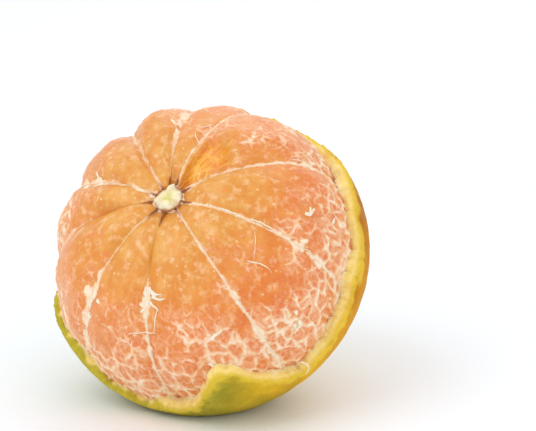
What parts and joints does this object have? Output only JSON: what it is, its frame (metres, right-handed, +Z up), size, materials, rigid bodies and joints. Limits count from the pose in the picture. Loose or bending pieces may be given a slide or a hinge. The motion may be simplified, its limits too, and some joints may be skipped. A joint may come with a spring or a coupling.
{
  "type": "half-peeled orange",
  "caption": "Loose-skinned orange with its upper half peeled: a torn cup of rind holding a ring of juicy segments round a white core.",
  "frame": {"origin": "middle of the small flat spot under the peel that the fruit rests on", "axes": "+Z up; +X across the front, to the right of a viewer who faces the peeled side; +Y away from that viewer"},
  "size_m": [0.0735, 0.0697, 0.0663],
  "materials": {
    "peel": "satin, pitted with oil glands, green turning golden",
    "pith": "matt and fibrous",
    "flesh": "moist and translucent, with white pith"
  },
  "bodies": {
    "root": {"peel": "peel", "core_pith": "pith", "segment_01": "flesh", "segment_02": "flesh", "segment_03": "flesh", "segment_04": "flesh", "segment_05": "flesh", "segment_06": "flesh", "segment_07": "flesh", "segment_08": "flesh", "segment_09": "flesh", "segment_10": "flesh"}
  },
  "joints": []
}
